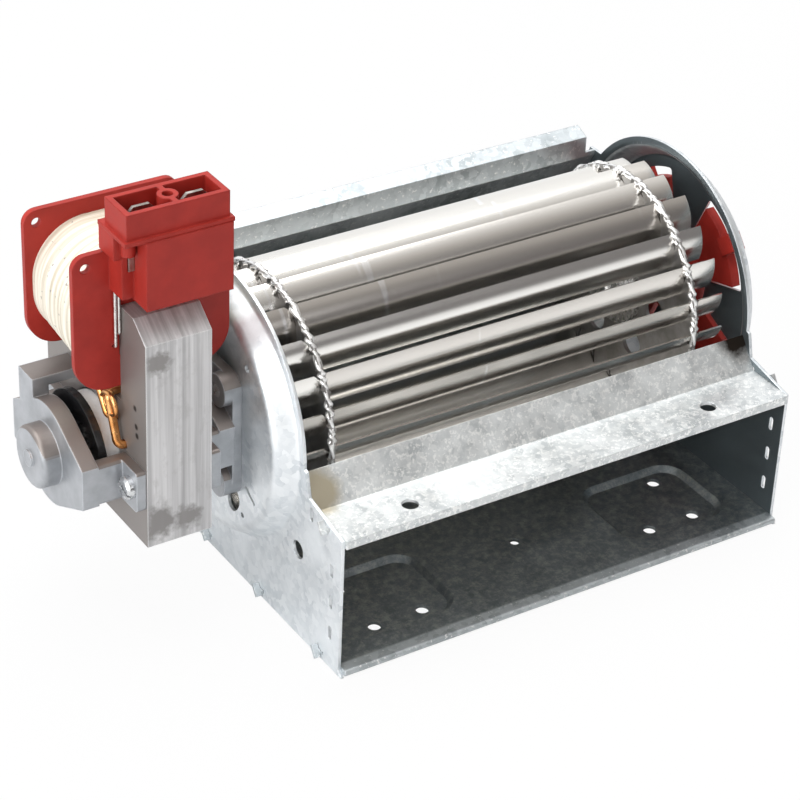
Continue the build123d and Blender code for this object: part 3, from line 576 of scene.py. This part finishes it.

# ---- Motor iron -----------------------------------------------------------------------------
# Half millimetre sheets riveted into a block: the broad face is one clean sheet, painted darker and brown
# as a painted reflection, and the sides show the edges of all of them as fine uneven lines with grey smudges
# of old varnish. The corners are rubbed bright and carry a painted highlight, and punched marks stake the
# sheets together.


def edge_highlight_and_wear(tree, radius, strength=0.8):
    """A mask of the strip beside each sharp edge, for rubbing and a painted highlight there."""
    rounded = add(tree, "Bevel", samples=6, Radius=radius)
    agree = add(tree, "VectorMath", operation="DOT_PRODUCT")
    link(tree, rounded, "Normal", agree, 0)
    link(tree, add(tree, "NewGeometry"), "Normal", agree, 1)
    return ramp(tree, agree, "Value", [(0.86, strength), (0.99, 0.0)])


varnish = (0.27, 0.26, 0.255)
# Each smudge is this far in from the corner, up from the foot or down from the top, and this wide.
smudges = [(0.003, -0.009, 0.0035), (0.003, 0.006, 0.005), (0.010, 0.005, 0.004)]
punched = [(-0.0188, 0.0183), (-0.0193, 0.0138), (-0.0196, 0.0116)]  # behind the axis and above it
iron, tree, shader, tone = finish_of(
    "laminated_steel", (0.38, 0.375, 0.38), (0.66, 0.655, 0.66), 620.0, metal=0.55, rough=(0.42, 0.55),
    relief=0.00002, stretch=(1, 0.02, 0.02), edge=0.0004)
stack_low, stack_high = [Vector(corner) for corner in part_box("stator_core")]
blotches = mottle(tree, 260.0, detail=5.0, roughness=0.7, stretch=(1, 0.5, 0.5))
colour = over(tree, ramp(tree, blotches, "Fac", [(0.52, 0.0), (0.75, 0.5)]), tone, (0.30, 0.29, 0.285))
for inwards, level, reach in smudges:
    point = Vector((stack_low.x + inwards, stack_low.y, (stack_low.z if level > 0 else stack_high.z) + level))
    colour = over(tree, near(tree, point, reach, 1.6), colour, varnish, "Result")
# Painted highlight, with rubbing, along the sharp edges.
colour = over(tree, edge_highlight_and_wear(tree, 0.0005), colour, (0.86, 0.86, 0.86))
# Painted reflection: the faces that look along −X are darker and brown.
colour = over(tree, faces_along(tree, "X", -1.0), colour, (0.235, 0.215, 0.205))
for behind, above in punched:
    mark = near(tree, Vector((stack_low.x, axle.y + behind, axle.z + above)), 0.0009, 0.5)
    colour = over(tree, mark, colour, (0.02, 0.02, 0.02), "Result")
link(tree, colour, 2, shader, "Base Color")
dress(iron, "stator_core", "coil_core", "rotor_core")

ring_white = finish_of("rotor_end_ring", (0.90, 0.89, 0.89), (0.98, 0.98, 0.97), 300.0,
                       metal=0.2, rough=(0.35, 0.5), edge=0.0003)[0]
dress(ring_white, "rotor_cage")

# ---- Die castings ---------------------------------------------------------------------------
# The two bearing brackets are zinc die castings, screwed to the iron. They are smooth blue grey, darker
# and browner on the faces that look up, with softly rounded edges that are rubbed bright and carry a painted
# highlight.

cast, tree, shader, tone = finish_of("die_cast_zinc", (0.34, 0.355, 0.375), (0.46, 0.475, 0.50), 160.0,
                                     metal=0.75, rough=(0.38, 0.5), relief=0.00015, edge=0.0006)
browner_upwards = over(tree, faces_along(tree, "Z", 1.0, 0.45), tone, (0.255, 0.225, 0.21))
# Painted highlight, with rubbing, along the sharp edges.
edges_lit_and_rubbed = over(tree, edge_highlight_and_wear(tree, 0.0005, 0.6), browner_upwards, (0.70, 0.73, 0.77))
link(tree, edges_lit_and_rubbed, 2, shader, "Base Color")
dress(cast, "outer_bracket", "inner_bracket")
plated = finish_of("plated_screws", (0.55, 0.56, 0.57), (0.75, 0.76, 0.77), 600.0,
                   metal=1.0, rough=(0.2, 0.35), relief=0.00001, edge=0.0002)[0]
dress(plated, "stack_screws", "mount_screws")

# ---- Red mouldings --------------------------------------------------------------------------
# The bobbin with its terminal block, the shroud and the far bearing's carrier are moulded from one
# red glass filled nylon. The cheeks have rounded corners. The carrier clips into the far dish.

red, tree, shader, tone = finish_of("red_nylon", (0.290, 0.018, 0.012), (0.360, 0.026, 0.018), 150.0,
                                    rough=(0.45, 0.55), relief=0.00008, edge=0.0005)
shader.inputs["Specular IOR Level"].default_value = 0.28
dress(red, "coil_bobbin", "terminal_shroud", "bearing_carrier")

cheek_top = 0.0545  # above the wheel's axis
cheek_corner = 0.0032
cheek_reach = 0.013  # from the axis to past both cheeks' outer faces
cheek_steps = 6
bobbin_low, bobbin_high = [Vector(corner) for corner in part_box("coil_bobbin")]
for name, edge, inwards in (("left", bobbin_low.x, 1), ("right", bobbin_high.x, -1)):
    outline = []
    for step in range(cheek_steps + 1):
        angle = step / cheek_steps * pi / 2
        outline.append((edge + inwards * cheek_corner * (1 - cos(angle)),
                        axle.z + cheek_top - cheek_corner * (1 - sin(angle))))
    past_top, past_side = outline[-1][1] + 0.001, edge - inwards * 0.001
    outline += [(outline[-1][0], past_top), (past_side, past_top), (past_side, outline[0][1])]
    trim(f"cheek_corner_{name}", outline, "y", (axle.y - cheek_reach, axle.y + cheek_reach), "coil_bobbin")

# ---- Coil -----------------------------------------------------------------------------------
# Enamelled copper wound on the bobbin under cream cloth tape. The tape's last turns lie over one
# another in narrow steps beside the front cheek, and the cloth is flecked with grey. The poles' copper
# rings are bare.

cream, tree, shader, tone = finish_of("cream_tape", (0.50, 0.44, 0.34), (0.80, 0.76, 0.67), 900.0,
                                      rough=(0.7, 0.85), relief=0.0003, stretch=(0.04, 1, 0.04))
flecks = mottle(tree, 420.0, detail=2.0, roughness=0.8)
flecked = over(tree, ramp(tree, flecks, "Fac", [(0.66, 0.0), (0.69, 0.75)]), tone, (0.20, 0.19, 0.18))
link(tree, flecked, 2, shader, "Base Color")
dress(cream, "coil_tape")

tape_low, tape_high = [Vector(corner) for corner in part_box("coil_tape")]
tape_corner = 0.013
tape_steps = 10  # round each corner
layer = 0.00025
turn_widths = (0.0165, 0.0125, 0.0088, 0.0052)
cheek_gap = 0.0002


def coil_loop(y, out):
    """Points round the coil at y, this far outside the tape."""
    points = []
    reach = tape_corner + out
    for quarter, (side, level) in enumerate(((1, 1), (-1, 1), (-1, -1), (1, -1))):
        centre_x = (tape_high.x if side > 0 else tape_low.x) - side * tape_corner
        centre_z = (tape_high.z if level > 0 else tape_low.z) - level * tape_corner
        for step in range(tape_steps + 1):
            angle = (quarter + step / tape_steps) * pi / 2
            points.append((centre_x + reach * cos(angle), y, centre_z + reach * sin(angle)))
    return points


def tape_turn(name, start, end, out, under):
    """One turn of tape round the coil, between two places along it."""
    section = [(start, under), (start, out), (end, out), (end, under)]
    loops = [coil_loop(y, offset) for y, offset in section]
    points = [point for loop in loops for point in loop]
    turn = add_mesh(name, points, wrapped(len(loops), len(loops[0]), closed=True), cream)
    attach(turn, "casing")


tape_start = tape_low.y + cheek_gap
for number, width in enumerate(turn_widths):
    tape_turn(f"tape_turn_{number + 1}", tape_start, tape_start + width, layer * (number + 1), -layer)

copper = finish_of("copper", (0.72, 0.30, 0.09), (0.95, 0.52, 0.22), 200.0,
                   metal=1.0, rough=(0.2, 0.32))[0]
dress(copper, "winding", "shading_rings")

# The front ring's ends are looped round one another and soldered.
joint_middle = Vector((stack_low.x - 0.0016, axle.y - 0.0112, axle.z + 0.0160))
joint_wide, joint_high = 0.0029, 0.0026
joint_wire = 0.00055  # radius
joint_shift = 1.8 * joint_wire  # from the loop's start to its end, which pass one another
joint_turns, joint_steps, joint_sides = 1.2, 30, 10
points = []
for step in range(joint_steps + 1):
    share = step / joint_steps
    around = 2 * pi * joint_turns * share
    middle = joint_middle + Vector((-joint_shift * share, joint_wide * sin(around), joint_high * cos(around)))
    outwards = Vector((0, sin(around) / joint_wide, cos(around) / joint_high)).normalized()
    for side in range(joint_sides):
        angle = 2 * pi * side / joint_sides
        points.append(middle + joint_wire * (outwards * cos(angle) + Vector((sin(angle), 0, 0))))
last = joint_steps * joint_sides
ends = [tuple(range(joint_sides))[::-1], tuple(range(last, last + joint_sides))]
faces = wrapped(joint_steps + 1, joint_sides) + ends
joint = add_mesh("shading_ring_joint", points, faces, copper, smooth=True)
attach(joint, "casing")

wire = finish_of("tinned_wire", (0.62, 0.60, 0.58), (0.85, 0.84, 0.82), 800.0,
                 metal=1.0, rough=(0.25, 0.35))[0]
dress(wire, "winding_leads")

# ---- Black parts and tabs -------------------------------------------------------------------
# The rotor's end cap is glossy black lacquer, the bush round the far bearing soft rubber, and the
# two tabs tinned brass dulled to brown.

black = finish_of("black_lacquer", (0.006, 0.006, 0.007), (0.014, 0.014, 0.015), 300.0,
                  rough=(0.14, 0.25), edge=0.0003)[0]
dress(black, "rotor_cap")
rubber = finish_of("rubber", (0.010, 0.010, 0.010), (0.022, 0.021, 0.020), 400.0, rough=(0.6, 0.75))[0]
dress(rubber, "rubber_bush")
tinned = finish_of("tinned_brass", (0.36, 0.33, 0.30), (0.60, 0.57, 0.53), 300.0,
                   metal=1.0, rough=(0.3, 0.42), edge=0.0002)[0]
dress(tinned, "tab_terminals")
